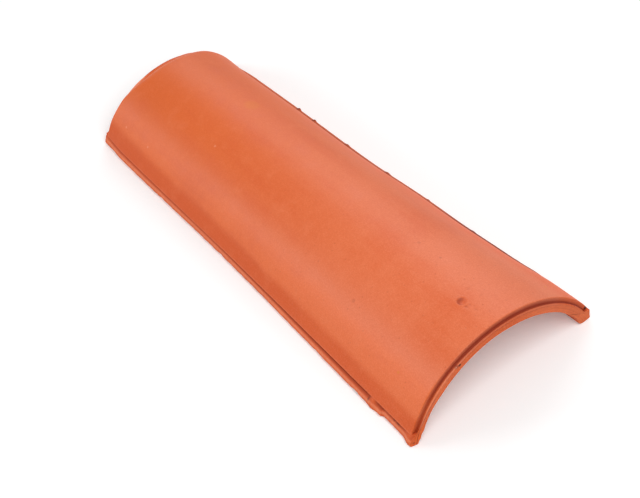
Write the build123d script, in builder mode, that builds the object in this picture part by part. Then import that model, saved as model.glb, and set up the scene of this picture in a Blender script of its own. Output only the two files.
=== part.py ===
from build123d import *
import os
from math import asin, degrees

# Barrel roof tile of fired clay: one pressed, tapered half-round shell that lies on its two long feet.
# X runs along the tile with the wide end at +X, Y runs across it, Z stands up from the floor.

# Driving dimensions, in millimetres
length = 450.0              # end to end, at half height
wide_width = 195.0          # across the outer face at the floor, wide end
narrow_width = 145.0        # across the outer face at the floor, narrow end
wide_height = 70.0          # crown above the floor, wide end
narrow_height = 53.0        # crown above the floor, narrow end
wall = 12.0                 # thickness of the shell under the outer face

step_drop = 4.0             # step from the outer face down to the end rims and the side grooves
rim_reach = 3.0             # how far each end rim stands out past the outer face
lip_height = 8.0            # foot lips along both sides, above the floor
groove_width = 2.0          # groove between each foot lip and the outer face

shoulder_round = 2.0        # rounding of the outer face above the end rims
rim_round = 1.0             # rounding of the outer edge of each end rim
mouth_bevel = 1.0           # bevel of the inner edge of each end
sole_round = 3.0            # rounding under the feet, outside and inside

nail_mark_from_end = 38.0   # centre of the blind nail mark, back from the wide end
nail_mark_aside = 4.0       # the same, to one side of the crown
nail_mark_width = 6.5
nail_mark_depth = 1.5

# Sizes that follow from the driving dimensions
half_length = length / 2
mean_height = (wide_height + narrow_height) / 2
skin_end = half_length - rim_reach
skin_foot = lip_height + groove_width
root = (step_drop + wall) / 2       # how deep the outer face and the foot lips go into the shell
near = 0.1                          # how closely an edge has to lie to the floor to be picked there


# The faces are cones about one axis: at each end the outer face is an arc over both feet and the crown
def arch_radius(width, height):
    return (width**2 / 4 + height**2) / (2 * height)


wide_radius = arch_radius(wide_width, wide_height)
narrow_radius = arch_radius(narrow_width, narrow_height)
wide_centre = Vector(half_length, 0, wide_height - wide_radius)
narrow_centre = Vector(-half_length, 0, narrow_height - narrow_radius)
tile_axis = Axis(narrow_centre, wide_centre - narrow_centre)

# The long section is drawn on the plane of that axis, square to it and about the middle of the tile
section = Plane((0, 0, mean_height / 2), x_dir=tile_axis.direction, z_dir=(0, -1, 0))
axis_level = section.to_local_coords(narrow_centre).Y


def radius_at(along):
    return narrow_radius + (along + half_length) / length * (wide_radius - narrow_radius)


def layer(end, upper, lower):
    # One layer of the wall between its two ends and between two depths under the outer face
    Polygon(
        (-end, axis_level + radius_at(-end) - lower),
        (end, axis_level + radius_at(end) - lower),
        (end, axis_level + radius_at(end) - upper),
        (-end, axis_level + radius_at(-end) - upper),
        align=None,
    )


def corners(place):
    # The lowest (0) or the highest (-1) corner of the drawn layer at each end
    ends = vertices().group_by(Axis.X)
    return [ends[end].sort_by(Axis.Y)[place] for end in (0, -1)]


def sole_edges():
    return edges().filter_by_position(Axis.Z, -near, near).filter_by(lambda edge: edge.length > length / 2)


# The outer face: a skin that stops short of the end rims and of the foot lips
with BuildPart() as skin:
    with BuildSketch(section):
        layer(skin_end, 0, root)
        fillet(corners(-1), shoulder_round)
    revolve(axis=tile_axis)
    split(bisect_by=Plane.XY.offset(skin_foot), keep=Keep.TOP)

# The foot lips, which come out to the outer face along both sides
with BuildPart() as lips:
    with BuildSketch(section):
        layer(half_length, 0, root)
    revolve(axis=tile_axis)
    split(bisect_by=Plane.XY.offset(lip_height), keep=Keep.BOTTOM)
    split(bisect_by=Plane.XY, keep=Keep.TOP)

# The shell itself, at rim level, joined by the skin and the lips
with BuildPart() as barrel_tile:
    with BuildSketch(section):
        layer(half_length, step_drop, wall)
        fillet(corners(-1), rim_round)
        chamfer(corners(0), mouth_bevel)
    revolve(axis=tile_axis)
    split(bisect_by=Plane.XY, keep=Keep.TOP)
    add(lips.part)
    add(skin.part)
    fillet(sole_edges(), sole_round)

    # The blind nail mark near the wide end, a shallow round dent square to the outer face
    mark_along = half_length - nail_mark_from_end
    lean = degrees(asin(nail_mark_aside / radius_at(mark_along)))
    ball = (nail_mark_width**2 / 4 + nail_mark_depth**2) / (2 * nail_mark_depth)
    mark_root = section.from_local_coords((mark_along, axis_level, 0))
    mark_plane = Plane(mark_root, x_dir=section.x_dir, z_dir=section.y_dir).rotated((lean, 0, 0))
    with Locations(mark_plane.offset(radius_at(mark_along) - nail_mark_depth + ball)):
        Sphere(ball, rotation=(0, -90, 0), mode=Mode.SUBTRACT)

barrel_tile.part.label = "barrel_tile"

os.makedirs("parts", exist_ok=True)
export_step(barrel_tile.part, "parts/barrel_tile.step")
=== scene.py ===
import bpy
import math
from mathutils import Matrix, Vector, noise
from types import SimpleNamespace


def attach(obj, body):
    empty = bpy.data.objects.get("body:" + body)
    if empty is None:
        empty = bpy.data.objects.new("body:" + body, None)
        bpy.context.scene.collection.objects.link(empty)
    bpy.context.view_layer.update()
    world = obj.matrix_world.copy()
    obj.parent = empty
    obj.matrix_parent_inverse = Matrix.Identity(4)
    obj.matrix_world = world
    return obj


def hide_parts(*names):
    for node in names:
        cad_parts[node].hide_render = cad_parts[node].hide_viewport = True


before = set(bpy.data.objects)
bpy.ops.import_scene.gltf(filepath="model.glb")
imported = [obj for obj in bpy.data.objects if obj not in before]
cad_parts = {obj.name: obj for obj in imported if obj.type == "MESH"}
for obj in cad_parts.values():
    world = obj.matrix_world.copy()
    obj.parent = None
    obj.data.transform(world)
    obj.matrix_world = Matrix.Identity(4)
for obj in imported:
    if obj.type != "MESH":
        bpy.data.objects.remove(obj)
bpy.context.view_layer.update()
mm = 0.001
print("frame loaded:", ", ".join(sorted(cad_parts)))

# Camera where the photograph was taken from, in degrees, mm and pixels of the 640 x 498 picture
shot = {
    "azimuth": 58.66,
    "elevation": 46.87,
    "roll": -10.19,
    "distance": 2106.74,
    "target": (1.41, -8.41, -10.85),
    "focalPixels": 2501.16,
    "pictureWidth": 640,
}


def placeCamera():
    azimuth, elevation, roll = (math.radians(shot[key]) for key in ("azimuth", "elevation", "roll"))
    level = math.cos(elevation)
    back = Vector((math.sin(azimuth) * level, -math.cos(azimuth) * level, math.sin(elevation)))
    right = Vector((math.cos(azimuth), math.sin(azimuth), 0))
    up = back.cross(right)
    across = right * math.cos(roll) + up * math.sin(roll)
    upward = up * math.cos(roll) - right * math.sin(roll)
    bpy.ops.object.camera_add(location=(Vector(shot["target"]) + back * shot["distance"]) * mm)
    cam = bpy.context.object
    cam.rotation_euler = Matrix((across, upward, back)).transposed().to_euler()
    cam.data.sensor_fit = "HORIZONTAL"
    cam.data.lens = shot["focalPixels"] / shot["pictureWidth"] * cam.data.sensor_width
    bpy.context.scene.camera = cam


placeCamera()
print("camera placed")

# Barrel tile in mm: the sizes of the CAD part first, then how finely the clay is cut up
tile = {
    "length": 450.0,
    "wideWidth": 195.0,
    "narrowWidth": 145.0,
    "wideHeight": 70.0,
    "narrowHeight": 53.0,
    "wall": 12.0,
    "skinFoot": 10.0,
    "soleRound": 3.0,
    "rimRound": 0.8,
    "rimTurns": (90, 60, 30, 0),  # degrees of the cuts round the rim's edge
    "mouthBevel": 0.5,
    # from each end: how far back, and how deep the outer face lies there (rim, crease, shoulder)
    "endSteps": [
        (1.1, 4.6), (1.5, 4.6), (2.0, 4.6), (2.6, 4.6), (2.75, 4.45), (2.82, 3.8), (2.88, 2.9), (2.94, 1.9),
        (3.02, 1.0), (3.2, 0.42), (3.55, 0.14), (4.2, 0.03), (4.9, 0.01), (5.7, 0.0), (6.7, 0.0), (8.0, 0.0),
    ],
    # up each side: height above the floor, and how deep the lip and the groove lie there
    "lipSteps": [
        (3.7, 0.0), (4.6, 0.02), (5.3, 0.08), (6.0, 0.22), (6.6, 0.45), (7.2, 0.8), (7.7, 1.25),
        (8.1, 1.8), (8.5, 2.5), (8.9, 3.0), (9.3, 3.2), (9.6, 2.8), (9.78, 1.8), (9.9, 0.7),
    ],
    "soleCuts": 4,
    "stations": 160,
    "skinLines": 92,
    "edgeLines": (0.987, 0.994),  # more lines beside the grooves, as shares of the way from the crown
    "endCuts": 5,
    "lipCuts": 2,
    # blind nail mark: along, angle from the crown in degrees, width and depth
    "nailMark": (185.9, -1.7, 7.9, 1.9),
    "nailLines": 21,        # lines across it each way
    "nailReach": 0.95,      # how far they go along, in widths of the mark
    "nailSpan": 0.07,       # and across, as a share of the way from crown to groove
    "nailClear": 0.075,     # where the wider spaced lines give way to them
    "grooveAngle": 65.0,    # about how far the grooves are from the crown
    # edges that get finer cuts, on the ends: how close to the end, how much deeper and how far apart their points are
    "endPick": (0.1, 2.0, 3.0),
    # and along the lips: how far apart, how much above the groove, how deep and how clear of the ends
    "lipPick": (1.6, 0.3, 4.6, 7.0),
}


def archRadius(width, height):
    return (width ** 2 / 4 + height ** 2) / (2 * height)


# The faces are cones about one axis that falls a little towards the wide end
halfLength = tile["length"] / 2
wideRadius = archRadius(tile["wideWidth"], tile["wideHeight"])
narrowRadius = archRadius(tile["narrowWidth"], tile["narrowHeight"])
wideLevel = tile["wideHeight"] - wideRadius
narrowLevel = tile["narrowHeight"] - narrowRadius
tilt = math.atan2(narrowLevel - wideLevel, tile["length"])
alongDir = Vector((math.cos(tilt), 0, -math.sin(tilt)))
upDir = Vector((math.sin(tilt), 0, math.cos(tilt)))
middle = Vector((0, 0, (tile["wideHeight"] + tile["narrowHeight"]) / 4))
axisLevel = (Vector((-halfLength, 0, narrowLevel)) - middle).dot(upDir)


def radiusAt(along):
    return narrowRadius + (along + halfLength) / tile["length"] * (wideRadius - narrowRadius)


def levelAt(along, z):  # height above the axis of a point at this height above the floor
    return (z - middle.z + along * math.sin(tilt)) / math.cos(tilt) - axisLevel


def spot(along, across, level):
    return middle + alongDir * along + Vector((0, across, 0)) + upDir * (axisLevel + level)


def arcSpot(along, radius, angle):
    return spot(along, radius * math.sin(angle), radius * math.cos(angle))


def angleAt(along, radius, z):
    return math.acos(levelAt(along, z) / radius)


def unroll(point):  # along, angle from the crown and depth under the outer face
    offset = point - middle
    along = offset.dot(alongDir)
    level = offset.dot(upDir) - axisLevel
    return along, math.atan2(point.y, level), radiusAt(along) - math.hypot(point.y, level)


def soleSpot(along, side, share, inset, inner):
    # A round under the foot, from the floor (share 0) up to the outer or the inner face (share 1)
    ball = tile["soleRound"]
    reach = radiusAt(along) + (ball - tile["wall"] if inner else -ball)
    level = levelAt(along, ball)
    aside = math.sqrt(reach ** 2 - level ** 2)
    lean = math.atan2(level, aside)
    turn = -math.pi / 2 + share * ((lean - math.pi / 2) if inner else (lean + math.pi / 2))
    return spot(along, side * (aside + (ball - inset) * math.cos(turn)), level + (ball - inset) * math.sin(turn))


def fineLines(centre, reach):  # evenly over the nail mark, from one side of it to the other
    half = (tile["nailLines"] - 1) / 2
    return [centre + reach * (k / half - 1) for k in range(tile["nailLines"])]


def stationSteps():
    # Along the tile: place, depth of the outer face and inset of the rounded edge, from one end to the other
    ball, rimDepth = tile["rimRound"], tile["endSteps"][0][1]
    turns = [math.radians(turn) for turn in tile["rimTurns"]]
    end = [(halfLength - ball * (1 - math.sin(turn)), rimDepth, ball * (1 - math.cos(turn))) for turn in turns]
    end += [(halfLength - back, deep, 0.0) for back, deep in tile["endSteps"]]
    inside = halfLength - tile["endSteps"][-1][0]
    places = [-inside + 2 * inside * i / tile["stations"] for i in range(1, tile["stations"])]
    nail, _, width, _ = tile["nailMark"]
    places = [x for x in places if abs(x - nail) > width]
    places += fineLines(nail, width * tile["nailReach"])
    return [(-x, deep, inset) for x, deep, inset in end] + [(x, 0.0, 0.0) for x in sorted(places)] + end[::-1]


def skinShares():
    # Across the outer face, from -1 at one groove to 1 at the other, closer at the nail mark and the two edges
    lines = [-1 + 2 * i / tile["skinLines"] for i in range(tile["skinLines"] + 1)]
    nail = tile["nailMark"][1] / tile["grooveAngle"]
    lines = [t for t in lines if abs(t - nail) > tile["nailClear"]]
    lines += fineLines(nail, tile["nailSpan"])
    lines += [side * t for side in (-1, 1) for t in tile["edgeLines"]]
    return sorted(lines)


# Rows of both sheets, each with its side, what it lies on and where: from one sole over the crown to the other
steps = stationSteps()
soleShares = [k / tile["soleCuts"] for k in range(tile["soleCuts"] + 1)]
footRows = [("sole", share) for share in soleShares] + [("lip", row) for row in tile["lipSteps"]]
outerRows = [(-1,) + row for row in footRows]
outerRows += [(0, "skin", share) for share in skinShares()]
outerRows += [(1,) + row for row in footRows[::-1]]
innerArc = len(outerRows) - 2 * len(soleShares)
innerRows = [(-1, "sole", share) for share in soleShares]
innerRows += [(0, "arc", -1 + 2 * (k + 1) / (innerArc + 1)) for k in range(innerArc)]
innerRows += [(1, "sole", share) for share in soleShares[::-1]]


def outerSpot(row, step):
    side, kind, value = row
    along, deep, inset = step
    if kind == "sole":
        return soleSpot(along, side, value, inset, False)
    if kind == "lip":
        z, lipDepth = value
        radius = radiusAt(along) - lipDepth - inset
        return arcSpot(along, radius, side * angleAt(along, radius, z))
    radius = radiusAt(along) - deep - inset
    return arcSpot(along, radius, value * angleAt(along, radius, tile["skinFoot"]))


def innerSpot(row, step):
    side, kind, value = row
    along = step[0]
    inset = max(0.0, tile["mouthBevel"] - (halfLength - abs(along)))
    if kind == "sole":
        return soleSpot(along, side, value, inset, True)
    edge = unroll(soleSpot(along, 1, 1.0, 0.0, True))[1]
    return arcSpot(along, radiusAt(along) - tile["wall"] + inset, value * edge)


def rollSheet(name, rows, place):
    # A flat sheet, one face for each cut, rolled over the former
    bpy.ops.object.select_all(action="DESELECT")
    bpy.ops.mesh.primitive_grid_add(x_subdivisions=len(steps) - 1, y_subdivisions=len(rows) - 1, size=2)
    sheet = bpy.context.object
    sheet.name = name
    for v in sheet.data.vertices:
        station = round((v.co.x + 1) / 2 * (len(steps) - 1))
        line = round((v.co.y + 1) / 2 * (len(rows) - 1))
        v.co = place(rows[line], steps[station]) * mm
    return sheet


def editEdges(piece, wanted):
    # Goes into edit mode with only the wanted edges selected; wanted gets the two ends in mm
    bpy.ops.object.mode_set(mode="EDIT")
    bpy.ops.mesh.select_mode(type="EDGE")
    bpy.ops.mesh.select_all(action="DESELECT")
    bpy.ops.object.mode_set(mode="OBJECT")
    verts = piece.data.vertices
    for edge in piece.data.edges:
        edge.select = wanted(verts[edge.vertices[0]].co / mm, verts[edge.vertices[1]].co / mm)
    bpy.ops.object.mode_set(mode="EDIT")


def acrossEnd(a, b):
    alongA, _, depthA = unroll(a)
    alongB, _, depthB = unroll(b)
    within, deeper, apart = tile["endPick"]
    atEnd = min(abs(alongA), abs(alongB)) > halfLength - within
    return atEnd and abs(depthA - depthB) > deeper and abs(a.z - b.z) + abs(a.y - b.y) > apart


def alongLip(a, b):
    alongA, _, depthA = unroll(a)
    alongB, _, depthB = unroll(b)
    apart, above, deepest, clear = tile["lipPick"]
    onLip = max(a.z, b.z) < tile["skinFoot"] + above and max(depthA, depthB) < deepest
    return onLip and abs(a.x - b.x) > apart and max(abs(alongA), abs(alongB)) < halfLength - clear


def buildTile():
    outer = rollSheet("outerFace", outerRows, outerSpot)
    inner = rollSheet("innerFace", innerRows, innerSpot)
    bpy.ops.object.select_all(action="DESELECT")
    inner.select_set(True)
    outer.select_set(True)
    bpy.context.view_layer.objects.active = outer
    bpy.ops.object.join()
    outer.name = outer.data.name = "clayTile"
    # Close the wall: soles along both sides and a face at each end
    bpy.ops.object.mode_set(mode="EDIT")
    bpy.ops.mesh.select_mode(type="EDGE")
    bpy.ops.mesh.select_all(action="DESELECT")
    bpy.ops.mesh.select_non_manifold(
        extend=False,
        use_wire=False,
        use_boundary=True,
        use_multi_face=False,
        use_non_contiguous=False,
        use_verts=False,
    )
    bpy.ops.mesh.bridge_edge_loops()
    bpy.ops.mesh.select_all(action="SELECT")
    bpy.ops.mesh.normals_make_consistent(inside=False)
    bpy.ops.object.mode_set(mode="OBJECT")
    # A shell this thin can come out inside out: the face at the crown shows it
    if max(outer.data.polygons, key=lambda face: face.center.z).normal.z < 0:
        bpy.ops.object.mode_set(mode="EDIT")
        bpy.ops.mesh.select_all(action="SELECT")
        bpy.ops.mesh.flip_normals()
    # Finer faces where the clay is rough: the cut ends and the lips
    editEdges(outer, acrossEnd)
    bpy.ops.mesh.subdivide_edgering(number_cuts=tile["endCuts"], interpolation="LINEAR")
    editEdges(outer, alongLip)
    bpy.ops.mesh.subdivide(number_cuts=tile["lipCuts"])
    bpy.ops.object.mode_set(mode="OBJECT")
    return outer


clayTile = buildTile()
print("tile rolled:", len(clayTile.data.vertices), "points,", len(clayTile.data.polygons), "faces")

# How the clay departs from the true form, in mm and degrees. Two numbers in brackets are the places, heights, depths
# or angles between which a change comes in or fades
handling = {
    "flank": (22.0, 56.0),
    "overGroove": (7.0, 9.7),
    # the right flank, drawn in: how much, where that ends, and what share stays at the narrow end
    "drawRight": {"most": 2.3, "ends": (132.0, 190.0), "stays": 0.25, "narrow": (190.0, 225.0)},
    # more of it: how much, where along, and how far that reaches towards each end
    "bowsRight": [(2.7, -30.0, 85.0, 60.0), (1.3, 80.0, 40.0, 40.0)],
    # how much less the right lip is drawn in than the face above it
    "peekRight": {"most": 2.9, "ends": (160.0, 192.0), "narrow": (190.0, 218.0)},
    # the right flank let out again towards the wide end
    "flareRight": {"most": 0.9, "starts": (150.0, 200.0), "heights": (3.2, 10.0)},
    # the right toe: how far out it goes at the wide end, and how much farther behind it
    "squareToe": {"limit": 93.8, "more": 4.0, "fades": (5.0, 15.0), "below": 12.0},
    # the edge above the left groove drawn in, and the lip under it as in bowsRight
    "drawLeft": {"most": 2.2, "starts": (-200.0, 20.0), "angles": (34.0, 62.0)},
    "drawLeftLip": (2.9, -30.0, 110.0, 175.0),
    "tuckFarLeft": {"most": 1.5, "starts": (195.0, 222.0), "angles": (50.0, 64.0)},
    # the left lip trimmed back near the wide end, and what share of that stays behind it
    "trimLeft": {
        "most": 2.3, "starts": (183.5, 187.5), "ends": (211.0, 222.0), "stays": 0.3, "depths": (3.0, 9.0),
    },
    # lip corners rounded in plan, by end and side, and how far from the end that reaches
    "toeRound": {(1, 1): 1.5, (1, -1): 3.0, (-1, 1): 2.0, (-1, -1): 2.0},
    "toeReach": 9.0,
    # the left toe at the wide end, worn thin and a little drawn out
    "leftToe": {
        "thin": 2.6, "thinHeights": (1.0, 4.0), "out": 1.1, "outHeights": (2.0, 14.0),
        "depths": (3.0, 11.0), "fades": (1.0, 14.0), "below": 14.0,
    },
    # the wall at the wide end, thicker or thinner from inside: how much, and between what angles that comes in
    "wideWall": [(0.7, -6.0, 10.0), (0.6, 42.0, 52.0), (-2.2, -38.0, -54.0)],
    "wideWallDepths": (5.0, 12.0),
    "wideWallFades": (10.0, 60.0),
    "wideWallHeights": (0.0, 3.0),
    # the narrow end's edge, worn round: how much of the radius the right side loses, rim and depth to stay clear of
    "farRound": {
        "radius": 10.0, "starts": (-45.0, -8.0), "fades": (8.0, 40.0), "loses": 0.5, "rim": 2.8, "deepest": 4.2,
    },
    # and the rim there, worn lower
    "farDip": {"most": 1.1, "starts": (-22.0, -8.0), "fades": (12.0, 26.0), "depths": (3.6, 4.4)},
    "skinWave": {"most": 0.1, "size": 46.0, "fineSize": 15.0, "fineShare": 0.4},
    "nailHollow": 0.8,                # how flat the nail mark's bottom is
    "nailEdge": (0.16, 1.25, 0.22),   # the raised edge round it: height, place and width
    # the burr along the grooves
    "burr": {"most": 0.3, "mean": 0.65, "ragged": 0.5, "size": 7.0, "sidesApart": 40.0, "heights": (10.1, 11.3)},
    "lipTop": (5.6, 6.8),
    # torn clay on the lips: how deep, then the size and the share of each roughness
    "lipRough": 0.5,
    "lipTears": [(9.0, 1.0), (3.6, 0.7), (1.7, 0.4)],
    # clay left across the grooves: side, along, half length and how full
    "grooveFills": [
        (-1, 172.8, 3.6, 0.95), (-1, 219.0, 6.0, 0.9), (-1, -221.0, 5.0, 0.6), (1, 223.5, 4.0, 1.0),
    ],
    "fillLevel": 0.35,
    "fillKeeps": (0.3, 0.1),
    # chips out of the foot edges: side, along, half length, depth and height up from the floor
    "footChips": [
        (-1, 151.5, 3.6, 1.9, 3.4), (-1, -43.0, 3.0, 0.7, 5.0), (-1, -132.0, 2.2, 0.6, 4.0),
        (-1, 96.0, 2.6, 0.5, 4.0), (-1, 180.0, 6.0, 0.6, 12.0), (1, 20.0, 3.0, 0.8, 4.0),
        (1, 140.0, 2.5, 0.7, 5.0), (1, -70.0, 3.5, 0.8, 5.0),
    ],
    # crumbs of clay that stand out from the right groove edge: along, half length and height
    "crumbs": [
        (-127.0, 1.5, 1.5), (-106.0, 1.4, 1.3), (-62.0, 2.2, 0.8),
        (-11.0, 2.6, 0.9), (38.0, 1.6, 0.6), (92.0, 2.0, 0.5),
    ],
    "crumbHeights": (7.5, 1.8),
    # small dents beside the nail mark: along, angle, radius and depth
    "dents": [
        (192.6, -2.3, 1.0, 0.5), (193.2, -0.5, 0.9, 0.25), (200.0, -0.5, 1.1, 0.3),
        (196.5, -3.2, 0.9, 0.25), (179.5, 5.5, 1.0, 0.25), (191.5, 6.8, 0.9, 0.2),
    ],
    # knob of clay on the wide end's rim
    "rimKnob": {"angle": -26.0, "half": 1.2, "height": 1.1, "depth": 4.6, "reach": 1.2, "within": 3.2},
    # the cut ends, a little uneven: how deep, how much that varies over what lengths, and the least
    "cutEnds": {"mean": 0.16, "wide": 0.1, "wideSize": (14.0, 1.6), "fine": 0.06, "fineSize": 2.5, "least": 0.02},
    "smoothAngle": 38.0,
}

# Paint for the painted shade, the painted highlights and the raw clay, 0 to 1, in the same mm and degrees
painted = {
    "endFace": (0.02, 0.12),
    "outerHalf": (4.4, 6.5),
    "lipZone": 5.0,         # how deep the lips and the grooves go
    "skinStart": 9.97,      # and how high
    # painted shade in the grooves: where it lies, how dark, and where it gets darker
    "groove": {
        "bottom": (4.8, 5.8), "top": (9.95, 9.99), "depths": (0.2, 1.3), "ends": (0.2, 0.8),
        "dark": 0.32, "darker": 0.38, "places": (-200.0, 0.0),
    },
    # painted shade in small dark pits of the left groove: along, half length, height and half height
    "grooveSpots": [(168.3, 0.8, 7.0, 1.2), (199.5, 1.1, 7.6, 0.8), (204.5, 1.9, 7.6, 0.8)],
    "spotDark": 0.8,
    "spotTop": 10.6,        # up to where these and the crumbs are painted
    # how far round the wide end's step is seen as a flat tread
    "tread": (-34.0, -14.0),
    # painted shade on the step under the shoulder
    "shoulderShade": {
        "depths": (0.2, 0.5), "heights": (9.95, 10.0), "wallPlaces": (0.9, 2.4), "treadPlaces": (0.9, 1.6),
        "treadLeast": 0.25, "dark": 0.45, "darker": 0.5, "darkDepths": (0.5, 4.2), "rightLess": 0.45,
        "rightAngles": (22.0, 50.0), "rightDepths": (2.8, 4.3), "leftLess": 0.3, "leftAngles": (35.0, 55.0),
        "narrowEnd": 0.1,
    },
    # painted shade along the right groove edge
    "rightEdgeShade": {
        "bottom": (4.6, 6.4), "top": (9.95, 10.2), "dark": 0.3, "more": 0.15, "morePlaces": (-160.0, -120.0),
        "most": 0.55, "mostPlaces": (30.0, 90.0), "ends": (160.0, 190.0), "pitShade": 0.3, "pitPlaces": (60.0, 100.0),
    },
    # the crumbs, painted dark into the right edge's shade
    "crumb": {"share": 0.7, "most": 0.9, "wider": 1.2, "height": 7.6, "reach": 1.6, "pitShade": 0.45},
    "nail": {
        "above": 55.0, "deepest": 3.0, "edge": (0.85, 1.08), "least": 0.12, "most": 0.52, "lean": 0.55,
        "slope": (-0.7, 0.6), "middle": 0.55, "round": (0.2, 0.6), "dents": 1.1,
    },
    # painted highlights on the edges: above the grooves, on both rims and on the lips
    "skinEdge": {"depths": (0.2, 0.8), "top": (10.15, 10.9), "bottom": (9.6, 9.95), "left": 0.4},
    "rimEdge": {"place": 0.4, "reach": 0.4, "depth": 4.9, "depthReach": 0.7, "heights": (9.0, 10.0)},
    "farEdge": {
        "depths": (0.3, 1.2), "below": (5.2, 6.0), "angles": (8.0, 20.0), "heights": (10.0, 12.0), "ends": (3.2, 4.2),
    },
    "lipEdge": {"most": 0.8, "height": 5.4, "reach": 1.2, "depths": (0.3, 0.8)},
    "innerRaw": 0.5,
    "innerDepths": (6.0, 8.0),
    # painted shade in the deepest foot chips
    "chip": {"from": 1.5, "reach": 0.8, "share": 0.6},
    "shoulderKeeps": (0.5, 2.5),
}


def soft(x, low, high):
    share = min(1.0, max(0.0, (x - low) / (high - low)))
    return share * share * (3 - 2 * share)


def bell(x, centre, width):
    return math.exp(-((x - centre) / width) ** 2)


def sag(along, values):  # a bow with a longer reach on one side than on the other
    most, place, back, ahead = values
    return most * bell(along, place, back if along < place else ahead)


def farFrom(at, along, degrees):  # distance over the outer face
    return math.hypot(at.along - along, radiusAt(at.along) * (at.angle - math.radians(degrees)))


def locate(point):
    # Where a point of the true form lies
    along, angle, depth = unroll(point)
    fromEnd = halfLength - abs(along)
    return SimpleNamespace(
        along=along,
        angle=angle,
        depth=depth,
        degrees=math.degrees(angle),
        side=math.copysign(1, angle),
        end=math.copysign(1, along),
        z=point.z,
        fromEnd=fromEnd,
        onEnd=1 - soft(fromEnd, *painted["endFace"]),
        outside=1 - soft(depth, *painted["outerHalf"]),
        inward=Vector((0, -math.sin(angle), 0)) - upDir * math.cos(angle),
    )


def drawIn(at):
    # Sideways towards the middle of the tile, for the whole wall
    aside = abs(at.degrees)
    flank = soft(aside, *handling["flank"])
    onSkin = soft(at.z, *handling["overGroove"])
    if at.degrees > 0:
        draw, peek, flare = handling["drawRight"], handling["peekRight"], handling["flareRight"]
        fade = 1 - (1 - draw["stays"]) * soft(-at.along, *draw["narrow"])
        shift = draw["most"] * (1 - soft(at.along, *draw["ends"])) * fade
        shift += sum(sag(at.along, bow) for bow in handling["bowsRight"])
        less = peek["most"] * (1 - soft(at.along, *peek["ends"])) * (1 - soft(-at.along, *peek["narrow"]))
        shift -= less * (1 - onSkin)
        return flank * (shift - flare["most"] * soft(at.along, *flare["starts"]) * soft(at.z, *flare["heights"]))
    draw, tuck, trim = handling["drawLeft"], handling["tuckFarLeft"], handling["trimLeft"]
    shift = soft(aside, *draw["angles"]) * draw["most"] * soft(at.along, *draw["starts"]) * onSkin
    shift += flank * sag(at.along, handling["drawLeftLip"]) * (1 - onSkin)
    shift += tuck["most"] * soft(-at.along, *tuck["starts"]) * soft(aside, *tuck["angles"])
    trimmed = trim["most"] * soft(at.along, *trim["starts"])
    trimmed *= 1 - (1 - trim["stays"]) * soft(at.along, *trim["ends"])
    return shift + trimmed * (1 - onSkin) * (1 - soft(at.depth, *trim["depths"]))


def skinPush(point, at):
    # Inwards from the outer face: slow waves, the nail mark and its raised edge, dents, wear, and the burr
    wave, burr = handling["skinWave"], handling["burr"]
    waves = noise.noise(point / wave["size"]) + wave["fineShare"] * noise.noise(point / wave["fineSize"])
    push = wave["most"] * (1 + waves)
    nail, nailAngle, width, deep = tile["nailMark"]
    away = farFrom(at, nail, nailAngle) * 2 / width
    edge, place, reach = handling["nailEdge"]
    push += deep * max(0.0, 1 - away ** 2) ** handling["nailHollow"] - edge * bell(away, place, reach)
    for place, dentAngle, size, dent in handling["dents"]:
        push += dent * bell(farFrom(at, place, dentAngle), 0, size)
    if at.along < 0:
        worn, dip = handling["farRound"], handling["farDip"]
        ball = worn["radius"] * soft(at.degrees, *worn["starts"])
        ball *= 1 - worn["loses"] * soft(at.degrees, *worn["fades"])
        short = max(0.0, ball - (at.fromEnd - worn["rim"]))
        if short > 0:
            fall = ball - math.sqrt(max(0.0, ball ** 2 - short ** 2))
            push = max(push, min(worn["deepest"], fall) - at.depth)
        low = dip["most"] * soft(at.degrees, *dip["starts"]) * (1 - soft(at.degrees, *dip["fades"]))
        push += low * soft(at.depth, *dip["depths"])
    ragged = noise.noise(Vector((at.along / burr["size"], burr["sidesApart"] * at.side, 0)))
    ragged = burr["mean"] + burr["ragged"] * ragged
    return push - burr["most"] * ragged * (1 - soft(at.z, *burr["heights"]))


def lipPush(point, at):
    # Inwards from the lip and the groove: torn clay, crumbs, fills and chips
    onFace = 1 - soft(at.z, *handling["lipTop"])
    torn = sum(share * noise.noise(point / size) for size, share in handling["lipTears"])
    push = handling["lipRough"] * (1 + torn) / 2 * onFace
    for side, place, half, full in handling["grooveFills"]:
        if side == at.side:
            level = max(0.0, at.depth - handling["fillLevel"]) * math.sqrt(bell(at.along, place, half))
            push -= full * level * (1 - onFace * soft(at.depth, *handling["fillKeeps"]))
    for side, place, half, deep, height in handling["footChips"]:
        if side == at.side:
            push += deep * bell(at.along, place, half) * (1 - soft(at.z, height / 2, height))
    if at.side > 0:
        for place, half, height in handling["crumbs"]:
            push -= height * bell(at.along, place, half) * bell(at.z, *handling["crumbHeights"])
    return push


def pushOf(point, at):
    # All pushes from outside: none on the cut ends, apart from the knob on the wide end's rim
    push = 0.0
    if at.outside > 0 and at.onEnd < 1:
        if at.z > painted["skinStart"]:
            push = skinPush(point, at) * (1 - soft(at.depth, *painted["shoulderKeeps"]) * (at.along > 0))
        else:
            push = lipPush(point, at)
    knob = handling["rimKnob"]
    if at.along > 0 and at.fromEnd < knob["within"]:
        away = math.radians(at.degrees - knob["angle"]) * radiusAt(at.along)
        push -= knob["height"] * bell(away, 0, knob["half"]) * bell(at.depth, knob["depth"], knob["reach"])
    return push


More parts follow.
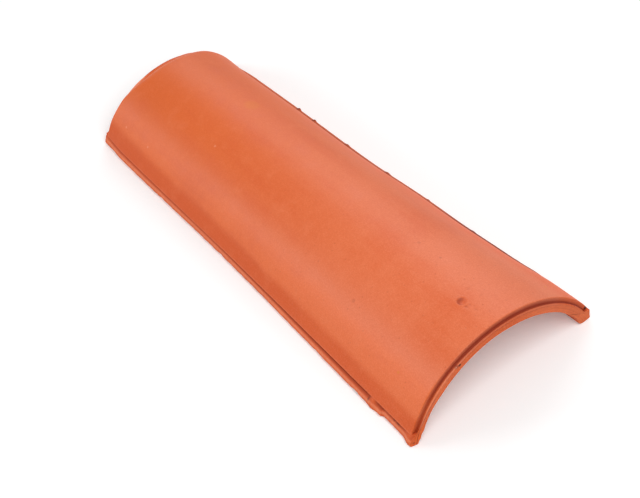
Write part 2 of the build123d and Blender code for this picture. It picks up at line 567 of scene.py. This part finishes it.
def moved(point, at):
    # A point of the true form, put where the hand-made tile has it
    point = point.copy()
    push = pushOf(point, at)
    point.y -= drawIn(at) * at.side
    point += at.inward * push * at.outside
    if at.onEnd > 0:
        cut = handling["cutEnds"]
        sizeAcross, sizeDeep = cut["wideSize"]
        wide = noise.noise(Vector((point.y / sizeAcross, at.depth / sizeDeep, at.along)))
        ragged = cut["mean"] + cut["wide"] * wide + cut["fine"] * noise.noise(point / cut["fineSize"])
        point -= alongDir * max(cut["least"], ragged) * at.onEnd * at.end
    if at.fromEnd < handling["toeReach"] and at.z < painted["skinStart"] and at.depth < painted["lipZone"]:
        ball = handling["toeRound"][(at.end, at.side)]
        short = max(0.0, ball - max(0.0, at.depth))
        setBack = (ball - math.sqrt(ball ** 2 - short ** 2)) * (1 - at.fromEnd / handling["toeReach"])
        point -= alongDir * setBack * at.end
    if at.along > 0:
        wideEnd(point, at)
    point.z = max(0.0, point.z)
    return point


def wideEnd(point, at):
    # What only the wide end has: a worn left toe, an uneven wall and a square right toe
    toe, square = handling["leftToe"], handling["squareToe"]
    if at.degrees < 0 and at.z < toe["below"]:
        share = soft(at.depth, *toe["depths"]) * (1 - soft(at.fromEnd, *toe["fades"]))
        point.y -= toe["thin"] * share * (1 - soft(at.z, *toe["thinHeights"]))
        point += alongDir * toe["out"] * share * (1 - soft(at.z, *toe["outHeights"]))
    thick = sum(more * soft(at.degrees, start, end) for more, start, end in handling["wideWall"])
    thick *= soft(at.depth, *handling["wideWallDepths"]) * (1 - soft(at.fromEnd, *handling["wideWallFades"]))
    point += at.inward * thick * soft(at.z, *handling["wideWallHeights"])
    if at.degrees > 0 and at.z < square["below"]:
        point.y = min(point.y, square["limit"] + square["more"] * soft(at.fromEnd, *square["fades"]))


def grooveMask(at):
    groove = painted["groove"]
    mask = soft(at.z, *groove["bottom"]) * (1 - soft(at.z, *groove["top"])) * soft(at.depth, *groove["depths"])
    mask *= at.outside * soft(at.fromEnd, *groove["ends"])
    for side, place, half, full in handling["grooveFills"]:
        if side == at.side:
            mask *= 1 - full * bell(at.along, place, half)
    return mask


def shoulderShade(at, tread):
    # Painted shade on the step under the shoulder, weaker on the flanks and hardly there at the narrow end
    end = painted["shoulderShade"]
    flat = end["treadLeast"] + (1 - end["treadLeast"]) * soft(at.fromEnd, *end["treadPlaces"])
    dark = (1 - tread) * soft(at.fromEnd, *end["wallPlaces"]) + tread * flat
    dark *= soft(at.depth, *end["depths"]) * soft(at.z, *end["heights"]) * at.outside
    dark *= end["dark"] + end["darker"] * soft(at.depth, *end["darkDepths"])
    right = soft(at.degrees, *end["rightAngles"]) * (1 - soft(at.depth, *end["rightDepths"]))
    dark *= (1 - end["rightLess"] * right) * (1 - end["leftLess"] * soft(-at.degrees, *end["leftAngles"]))
    return dark if at.along > 0 else dark * end["narrowEnd"]


def rightEdgeShade(at):
    # Painted shade along the right groove edge, darker towards the wide end and fading out before it
    if at.degrees < 0 or at.depth > painted["lipZone"]:
        return 0.0
    right = painted["rightEdgeShade"]
    dark = right["dark"] + right["more"] * soft(at.along, *right["morePlaces"])
    dark += right["most"] * soft(at.along, *right["mostPlaces"])
    dark *= soft(at.z, *right["bottom"]) * (1 - soft(at.z, *right["top"]))
    return dark * (1 - soft(at.along, *right["ends"]))


def nailShade(at):
    nail = painted["nail"]
    if at.z < nail["above"] or at.depth > nail["deepest"]:
        return 0.0
    place, nailAngle, width, _ = tile["nailMark"]
    back = (place - at.along) * 2 / width
    aside = radiusAt(at.along) * (at.angle - math.radians(nailAngle)) * 2 / width
    away = math.hypot(back, aside)
    slope = soft(back - nail["lean"] * aside, *nail["slope"])
    slope *= nail["middle"] + (1 - nail["middle"]) * soft(away, *nail["round"])
    shade = (1 - soft(away, *nail["edge"])) * (nail["least"] + nail["most"] * slope)
    dents = (nail["dents"] * dent * bell(farFrom(at, *where), 0, size) for *where, size, dent in handling["dents"])
    return max(shade, *dents)


def edgeHighlight(at, tread):
    # Painted highlights on the edges: above the grooves, on both rims and on the lips
    skin, rim, far, lip = (painted[key] for key in ("skinEdge", "rimEdge", "farEdge", "lipEdge"))
    skinHighlight = (1 - soft(at.depth, *skin["depths"])) * (1 - soft(at.z, *skin["top"])) * soft(at.z, *skin["bottom"])
    skinHighlight *= skin["left"] if at.degrees < 0 else 1
    rimHighlight = bell(at.fromEnd, rim["place"], rim["reach"]) * bell(at.depth, rim["depth"], rim["depthReach"])
    rimHighlight *= soft(at.z, *rim["heights"]) * (1 - tread)
    farHighlight = 0.0
    if at.along < 0:
        farHighlight = soft(at.depth, *far["depths"]) * (1 - soft(at.depth, *far["below"]))
        farHighlight *= soft(-at.degrees, *far["angles"]) * soft(at.z, *far["heights"])
        farHighlight *= 1 - soft(at.fromEnd, *far["ends"])
    lipHighlight = lip["most"] * bell(at.z, lip["height"], lip["reach"]) * (1 - soft(at.depth, *lip["depths"]))
    return max(skinHighlight, rimHighlight, farHighlight, lipHighlight)


def lightAndRawOf(at):
    # Painted shade in creases, raw clay, painted highlights on edges and painted shade in pits
    groove, right, crumb, chip = (painted[key] for key in ("groove", "rightEdgeShade", "crumb", "chip"))
    tread = soft(at.degrees, *painted["tread"])
    inGroove = grooveMask(at)
    onLip = (1 - soft(at.z, *handling["lipTop"])) * (1 - inGroove)
    raw = max(onLip, at.onEnd, painted["innerRaw"] * soft(at.depth, *painted["innerDepths"]))
    rightShade = rightEdgeShade(at)
    pitShade = right["pitShade"] * rightShade * soft(at.along, *right["pitPlaces"])
    # Painted shade: dark pits in the left groove, and the crumbs on the right painted dark with that side's shade
    if at.depth < painted["lipZone"] and at.z < painted["spotTop"]:
        if at.side < 0:
            for place, half, height, reach in painted["grooveSpots"]:
                pitShade = max(pitShade, painted["spotDark"] * bell(at.along, place, half) * bell(at.z, height, reach))
        else:
            for place, half, height in handling["crumbs"]:
                dark = min(crumb["most"], height * crumb["share"]) * bell(at.along, place, half * crumb["wider"])
                dark *= bell(at.z, crumb["height"], crumb["reach"])
                pitShade = max(pitShade, crumb["pitShade"] * dark)
                rightShade = max(rightShade, dark)
    # Painted shade in the deepest foot chips
    if at.outside > 0 and at.onEnd < 1 and at.z <= painted["skinStart"]:
        for side, place, half, deep, height in handling["footChips"]:
            if side == at.side and deep > chip["from"]:
                low = 1 - soft(at.z, height * chip["share"], height)
                pitShade = max(pitShade, bell(at.along, place, half * chip["reach"]) * low)
    # painted shade in the grooves, darker towards the wide end
    inGroove *= groove["dark"] + groove["darker"] * soft(at.along, *groove["places"])
    creaseShade = max(inGroove, shoulderShade(at, tread), rightShade, nailShade(at))
    return creaseShade, raw, edgeHighlight(at, tread), pitShade


def shapeClay(piece):
    # Pushes the true form about by hand, and paints the shade, the highlights and the raw clay into its colours
    paint = piece.data.color_attributes.new(name="paintedLightAndRaw", type="FLOAT_COLOR", domain="POINT")
    for v in piece.data.vertices:
        point = v.co / mm
        at = locate(point)
        v.co = moved(point, at) * mm
        paint.data[v.index].color = lightAndRawOf(at)
    bpy.ops.object.select_all(action="DESELECT")
    piece.select_set(True)
    bpy.context.view_layer.objects.active = piece
    bpy.ops.object.shade_smooth_by_angle(angle=math.radians(handling["smoothAngle"]))


shapeClay(clayTile)
print("clay shaped and its finish painted")


class Wire:
    # One socket of a node tree: sums on it add Math nodes, node() adds any other
    def __init__(self, tree, socket=None):
        self.tree = tree
        self.socket = socket

    def node(self, kind, settings=None, inputs=None, out=0):
        made = self.tree.nodes.new(kind)
        for key, value in (settings or {}).items():
            setattr(made, key, value)
        for key, value in (inputs or {}).items():
            if isinstance(value, Wire):
                self.tree.links.new(value.socket, made.inputs[key])
            else:
                made.inputs[key].default_value = value
        return Wire(self.tree, made.outputs[out])

    def output(self, out):  # another output of the same node
        return Wire(self.tree, self.socket.node.outputs[out])

    def maths(self, operation, first, second):
        return self.node("ShaderNodeMath", {"operation": operation}, {0: first, 1: second})

    def __add__(self, other):
        return self.maths("ADD", self, other)

    def __sub__(self, other):
        return self.maths("SUBTRACT", self, other)

    def __rsub__(self, other):
        return self.maths("SUBTRACT", other, self)

    def __mul__(self, other):
        return self.maths("MULTIPLY", self, other)

    __radd__ = __add__
    __rmul__ = __mul__

    def larger(self, other):
        return self.maths("MAXIMUM", self, other)

    def rise(self, low, high):  # 0 at low, 1 at high, smooth between
        inputs = {"Value": self, "From Min": low, "From Max": high}
        return self.node("ShaderNodeMapRange", {"interpolation_type": "SMOOTHSTEP"}, inputs)

    def colour(self, first, second):  # this value shares out two colours
        return self.node("ShaderNodeMix", {"data_type": "RGBA"}, {0: self, 6: first, 7: second}, out=2)

    def speckle(self, scale, detail, roughness, stretch=(1, 1, 1)):
        stretched = self.node("ShaderNodeMapping", {}, {"Vector": self, "Scale": stretch})
        inputs = {"Vector": stretched, "Scale": scale, "Detail": detail, "Roughness": roughness}
        return self.node("ShaderNodeTexNoise", {}, inputs)


# Fired clay: linear colours, patterns, zones and how strongly each shows
clay = {
    "farBody": (0.705, 0.124, 0.020, 1),
    "nearBody": (0.722, 0.157, 0.057, 1),
    "deep": (0.670, 0.108, 0.022, 1),
    "strip": (0.650, 0.084, 0.005, 1),
    # painted light: the left flank brighter in red and more saturated, where the light from the left falls
    "leftFlankLight": (0.800, 0.144, 0.026, 1),
    # painted shade: the right flank deeper and more saturated, holding back the sheen on it
    "rightFlankShade": (0.760, 0.105, 0.008, 1),
    "pale": (0.780, 0.195, 0.080, 1),
    "raw": (0.790, 0.148, 0.034, 1),
    "rawDark": (0.660, 0.108, 0.024, 1),
    # painted shade for the creases and the pits, and the pale colour of the painted highlights
    "creaseShade": (0.280, 0.029, 0.009, 1),
    "paleHighlight": (0.900, 0.330, 0.190, 1),
    "pitShade": (0.045, 0.010, 0.006, 1),
    "brown": (0.400, 0.064, 0.018, 1),
    "ochre": (0.700, 0.170, 0.010, 1),
    "chalk": (0.900, 0.420, 0.260, 1),
    "roughness": 0.47,
    "specular": 0.30,
    # scale, detail and roughness of each pattern, and how it is stretched
    "clouds": (14, 3, 0.55),
    "streaks": (1, 3, 0.6, (7, 70, 70)),
    "blotches": (75, 4, 0.6),
    "grain": (900, 3, 0.65),
    "crumbs": (420, 4, 0.7),
    "rings": (1000, 3, 0.6),
    "ringDrift": 0.04,
    "pores": 150.0,
    # zones in m: along the tile, across it, up from the floor, and up from a floor that rises to the wide end
    "nearEnd": (-0.2, 0.2),
    "leftSide": (0.0, -0.02),
    "rightSide": (0.0, 0.02),
    "leftStripHeights": (0.027, 0.019),
    "rightStripHeights": (0.052, 0.034),
    "floorRise": 0.022,
    "leftFlankLightHeights": (0.046, 0.036),
    "crownHeights": (0.042, 0.052),
    "crownEnds": [((-0.13, -0.21), 0.11), ((0.13, 0.21), 0.07)],
    "wideEnd": (0.2236, 0.2244),
    "paleEnd": (0.01, 0.06),
    # what the body tone is made of: clouds, streaks and blotches, less the left strip; then its range
    "toneShares": (0.5, 0.35, 0.15, 0.12),
    "toneRange": (0.3, 0.56),
    "blotchRange": (0.5, 0.75),
    # pores: how they fade, and the clouds and the way to the wide end that they keep to
    "poreSize": (0.13, 0.06),
    "porePlaces": (0.6, 0.4),
    "poreRange": (0.4, 0.75),
    # raw clay: crumbs, blotches and rings, then their range
    "rawShares": (0.35, 0.2, 0.45),
    "rawRange": (0.4, 0.6),
    # how much of each colour, on the whole or from the narrow to the wide end
    "leftFlankLightShare": 0.6,
    "leftStripShare": 0.7,
    "rightFlankShadeShare": (0.05, 0.75),
    "paleBlotches": 0.22,
    "darkCrumbs": (0.53, 0.35),
    "paleCrumbs": (0.5, 0.3),
    "darkGrain": 0.55,
    "paleGrain": 0.48,
    "grainShare": (0.25, 0.3),
    "poreShare": 0.32,
    "paleEndShare": 0.15,
    "highlightShare": (0.15, 0.75),
    # marks: place (along, angle from the crown, depth), size in mm, strength and colour; the dark ones at the wide
    # end's rim and toes are painted shade
    "marks": [
        ((137.2, 10.0, 0.0), 1.3, 0.4, "brown"),
        ((112.2, 9.5, 0.0), 2.2, 0.25, "brown"),
        ((111.6, -34.0, 0.0), 2.4, 0.35, "brown"),
        ((185.8, -45.0, 0.0), 1.9, 0.8, "ochre"),
        ((-120.5, 17.0, 0.0), 9.0, 0.4, "ochre"),
        ((205.6, 40.0, 0.0), 2.2, 0.6, "ochre"),
        ((-104.4, -20.0, 0.0), 1.2, 0.3, "chalk"),
        ((-200.9, -48.0, 0.0), 1.3, 0.3, "chalk"),
        ((-166.9, -48.0, 0.0), 1.3, 0.3, "chalk"),
        ((224.4, -26.0, 4.9), 2.6, 0.7, "creaseShade"),
        ((224.9, -24.4, 6.4), 1.8, 0.9, "pitShade"),
        ((224.6, -26.4, 5.0), 1.2, 0.6, "chalk"),
        ((222.1, 63.9, 0.8), 2.3, 0.95, "pitShade"),
        ((224.9, -68.5, 4.6), 1.2, 0.6, "creaseShade"),
    ],
    "markWobble": 0.0015,
    "markCore": 0.45,
    # drag lines on the wide end, painted as lines of shade: depth, from and to what angle, half width and strength
    "scores": [
        (6.0, -3.0, 33.0, 0.45, 0.35), (7.0, -66.0, -37.0, 0.6, 0.6),
        (9.6, -30.0, 8.0, 0.4, 0.25), (8.4, 30.0, 56.0, 0.4, 0.2),
    ],
    "scoreWobble": 0.0012,
    "scoreCore": 0.3,
    "scoreFade": 0.006,
    # relief in mm and how strong it is, and what makes the clay rougher
    "relief": {
        "grain": 0.12, "blotches": 0.13, "clouds": 0.2, "streaks": 0.05, "pores": 0.15,
        "rawCrumbs": 0.5, "rawRings": 0.6, "rawLevel": 0.55,
    },
    "bump": 0.6,
    "rougher": {"blotches": 0.16, "raw": 0.22, "creaseShade": 0.2, "leftStrip": 0.12, "rightStrip": 0.1},
}


def firedClay():
    material = bpy.data.materials.new("fired_clay_weathered_painted_light")
    material.use_nodes = True
    tree = material.node_tree
    shader = tree.nodes["Principled BSDF"]
    wire = Wire(tree)
    place = wire.node("ShaderNodeTexCoord", {}, {}, out="Object")
    # painted shade in creases, raw clay, painted highlights and painted shade in pits, as red, green, blue and alpha
    paintedLightAndRaw = wire.node("ShaderNodeVertexColor", {"layer_name": "paintedLightAndRaw"})
    masks = wire.node("ShaderNodeSeparateColor", {}, {"Color": paintedLightAndRaw})
    creaseShade, raw, paleHighlight, pitShade = masks, masks.output(1), masks.output(2), paintedLightAndRaw.output(1)

    patterns = ("clouds", "streaks", "blotches", "grain", "crumbs")
    clouds, streaks, blotches, grain, crumbs = (place.speckle(*clay[name]) for name in patterns)
    wobble = blotches - 0.5  # about 0, as noise goes from 0 to 1

    x = wire.node("ShaderNodeSeparateXYZ", {}, {0: place})
    y, z = x.output(1), x.output(2)
    slant = z - x * clay["floorRise"]
    nearEnd = x.rise(*clay["nearEnd"])
    onWideEnd = x.rise(*clay["wideEnd"])
    leftSide = y.rise(*clay["leftSide"])
    leftFlankLight = leftSide * slant.rise(*clay["leftFlankLightHeights"])
    leftStrip = leftSide * z.rise(*clay["leftStripHeights"])
    rightStrip = y.rise(*clay["rightSide"]) * z.rise(*clay["rightStripHeights"])
    crownEnds = sum(x.rise(*ends) * share for ends, share in clay["crownEnds"]) * slant.rise(*clay["crownHeights"])

    # Drag lines round the cut ends: they follow the distance from the axis
    slope = (wideLevel - narrowLevel) / tile["length"]
    overAxis = z - (x * slope + (wideLevel + narrowLevel) / 2 * mm)
    fromAxis = wire.node("ShaderNodeCombineXYZ", {}, {1: y, 2: overAxis})
    fromAxis = wire.node("ShaderNodeVectorMath", {"operation": "LENGTH"}, {0: fromAxis}, out="Value")
    rings = wire.node("ShaderNodeCombineXYZ", {}, {0: fromAxis, 1: y * clay["ringDrift"], 2: x})
    rings = rings.speckle(*clay["rings"])

    def byEnd(shares):  # a share at the narrow end, and how much more at the wide one
        return shares[0] + nearEnd * shares[1]

    # Body colour: slow clouds and streaks along the tile, its sides and ends, with painted light on the left flank
    # and painted shade on the right one, then blotches and a fine grain
    ofClouds, ofStreaks, ofBlotches, ofStrip = clay["toneShares"]
    tone = clouds * ofClouds + streaks * ofStreaks + blotches * ofBlotches - leftStrip * ofStrip
    body = nearEnd.colour(clay["farBody"], clay["nearBody"])
    # painted light on the left flank
    body = (leftFlankLight * clay["leftFlankLightShare"]).colour(body, clay["leftFlankLight"])
    colour = tone.rise(*clay["toneRange"]).colour(clay["deep"], body)
    colour = crownEnds.colour(colour, clay["brown"])
    colour = (leftStrip * clay["leftStripShare"]).colour(colour, clay["strip"])
    # painted shade on the right flank, holding back its sheen
    colour = (rightStrip * byEnd(clay["rightFlankShadeShare"])).colour(colour, clay["rightFlankShade"])
    colour = (blotches.rise(*clay["blotchRange"]) * clay["paleBlotches"]).colour(colour, clay["pale"])
    level, share = clay["darkCrumbs"]
    colour = ((level - crumbs).larger(0.0) * share).colour(colour, clay["brown"])
    level, share = clay["paleCrumbs"]
    colour = ((crumbs - level).larger(0.0) * share).colour(colour, clay["pale"])
    coarse = byEnd(clay["grainShare"])
    colour = ((clay["darkGrain"] - grain).larger(0.0) * coarse).colour(colour, clay["brown"])
    colour = ((grain - clay["paleGrain"]).larger(0.0) * coarse).colour(colour, clay["chalk"])
    pores = wire.node("ShaderNodeTexVoronoi", {}, {"Vector": place, "Scale": clay["pores"]})
    ofClouds, ofEnd = clay["porePlaces"]
    pores = pores.rise(*clay["poreSize"]) * (clouds * ofClouds + nearEnd * ofEnd).rise(*clay["poreRange"])
    colour = (pores * clay["poreShare"]).colour(colour, clay["brown"])

    # Raw clay on the lips and the cut ends, the painted shade in the creases, then the drag lines in the same shade,
    # the painted highlights on the edges and the painted shade in pits
    ofCrumbs, ofBlotches, ofRings = clay["rawShares"]
    rawTone = crumbs * ofCrumbs + blotches * ofBlotches + rings * ofRings
    rawColour = rawTone.rise(*clay["rawRange"]).colour(clay["rawDark"], clay["raw"])
    paleEnd = onWideEnd * y.rise(*clay["paleEnd"]) * clay["paleEndShare"]
    rawColour = paleEnd.colour(rawColour, clay["paleHighlight"])
    colour = raw.colour(colour, rawColour)
    colour = creaseShade.colour(colour, clay["creaseShade"])
    for depth, start, end, half, strength in clay["scores"]:
        line = fromAxis + wobble * clay["scoreWobble"] - (wideRadius - depth) * mm
        line = line.larger(line * -1).rise(half * mm, clay["scoreCore"] * half * mm)
        start, end = (wideRadius * math.sin(math.radians(turn)) * mm for turn in (start, end))
        span = y.rise(start, start + clay["scoreFade"]) * y.rise(end, end - clay["scoreFade"])
        colour = (line * span * onWideEnd * strength).colour(colour, clay["creaseShade"])
    least, more = clay["highlightShare"]
    colour = (paleHighlight * (least + crumbs * more)).colour(colour, clay["paleHighlight"])
    colour = pitShade.colour(colour, clay["pitShade"])
    for (along, degrees, depth), size, strength, tint in clay["marks"]:
        centre = arcSpot(along, radiusAt(along) - depth, math.radians(degrees)) * mm
        away = wire.node("ShaderNodeVectorMath", {"operation": "DISTANCE"}, {0: place, 1: centre}, out="Value")
        mark = (away + wobble * clay["markWobble"]).rise(size * mm, size * clay["markCore"] * mm) * strength
        colour = mark.colour(colour, clay[tint])

    relief, rougher = clay["relief"], clay["rougher"]
    height = grain * coarse * relief["grain"] + blotches * relief["blotches"] + clouds * relief["clouds"]
    height = height + streaks * relief["streaks"] - pores * relief["pores"]
    height = height + raw * (crumbs * relief["rawCrumbs"] + rings * relief["rawRings"] - relief["rawLevel"])
    bump = wire.node("ShaderNodeBump", {}, {"Strength": clay["bump"], "Distance": mm, "Height": height})
    roughness = clay["roughness"] + wobble * rougher["blotches"] + raw * rougher["raw"] + creaseShade * rougher["creaseShade"]
    roughness = roughness + leftStrip * rougher["leftStrip"] + rightStrip * rougher["rightStrip"]

    for socket, value in (("Base Color", colour), ("Roughness", roughness), ("Normal", bump)):
        tree.links.new(value.socket, shader.inputs[socket])
    shader.inputs["Specular IOR Level"].default_value = clay["specular"]
    return material


clayTile.data.materials.clear()
clayTile.data.materials.append(firedClay())
print("clay finished")

# Studio: soft boxes as direction, distance, width, height (m) and watts; how bright the room's fill is
studio = {
    "aim": (0.0, 0.0, 0.03),
    "softBoxes": {
        "topBox": ((0.55, -0.12, 0.85), 1.45, 0.9, 0.9, 12.8),
        "leftBox": ((-0.63, -0.67, 0.40), 2.6, 1.4, 0.5, 23.0),
        "backBox": ((-0.58, 0.60, 0.56), 2.6, 1.6, 0.9, 21.0),
        "rightBox": ((0.1, 1.0, 0.45), 1.6, 1.0, 0.8, 2.2),
    },
    "fill": 0.25,
    "floorSize": 14.0,
    "floorColour": (0.9, 0.9, 0.9, 1),
    "floorLift": 0.18,
}


def seenDirectly(wire):  # 1 on rays that show the background itself
    path = wire.node("ShaderNodeLightPath", {}, {}, out="Is Camera Ray")
    return path.larger(path.output("Is Glossy Ray")).larger(path.output("Is Transmission Ray"))


def setStudio():
    for name, (direction, distance, width, height, watts) in studio["softBoxes"].items():
        direction = Vector(direction).normalized()
        bpy.ops.object.light_add(type="AREA", location=Vector(studio["aim"]) + direction * distance)
        box = bpy.context.object
        box.name = name
        box.rotation_euler = direction.to_track_quat("Z", "Y").to_euler()
        box.data.shape = "RECTANGLE"
        box.data.size = width
        box.data.size_y = height
        box.data.energy = watts
        box.visible_camera = False
    room = bpy.data.worlds.new("studioRoom")
    room.use_nodes = True
    bpy.context.scene.world = room
    wire = Wire(room.node_tree)
    strength = studio["fill"] + seenDirectly(wire) * (1 - studio["fill"])
    background = room.node_tree.nodes["Background"]
    background.inputs["Color"].default_value = (1, 1, 1, 1)
    room.node_tree.links.new(strength.socket, background.inputs["Strength"])

    bpy.ops.object.select_all(action="DESELECT")
    bpy.ops.mesh.primitive_plane_add(size=studio["floorSize"])
    floor = bpy.context.object
    floor.name = "studioFloor"
    paper = bpy.data.materials.new("floorPaper")
    paper.use_nodes = True
    shader = paper.node_tree.nodes["Principled BSDF"]
    shader.inputs["Base Color"].default_value = studio["floorColour"]
    shader.inputs["Roughness"].default_value = 1.0
    shader.inputs["Specular IOR Level"].default_value = 0.0
    shader.inputs["Emission Strength"].default_value = studio["floorLift"]
    glow = seenDirectly(Wire(paper.node_tree)).colour((0, 0, 0, 1), (1, 1, 1, 1))
    paper.node_tree.links.new(glow.socket, shader.inputs["Emission Color"])
    floor.data.materials.append(paper)
    bpy.context.scene.view_settings.view_transform = "Standard"


setStudio()
print("studio lit")

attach(clayTile, "root")
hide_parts("barrel_tile")
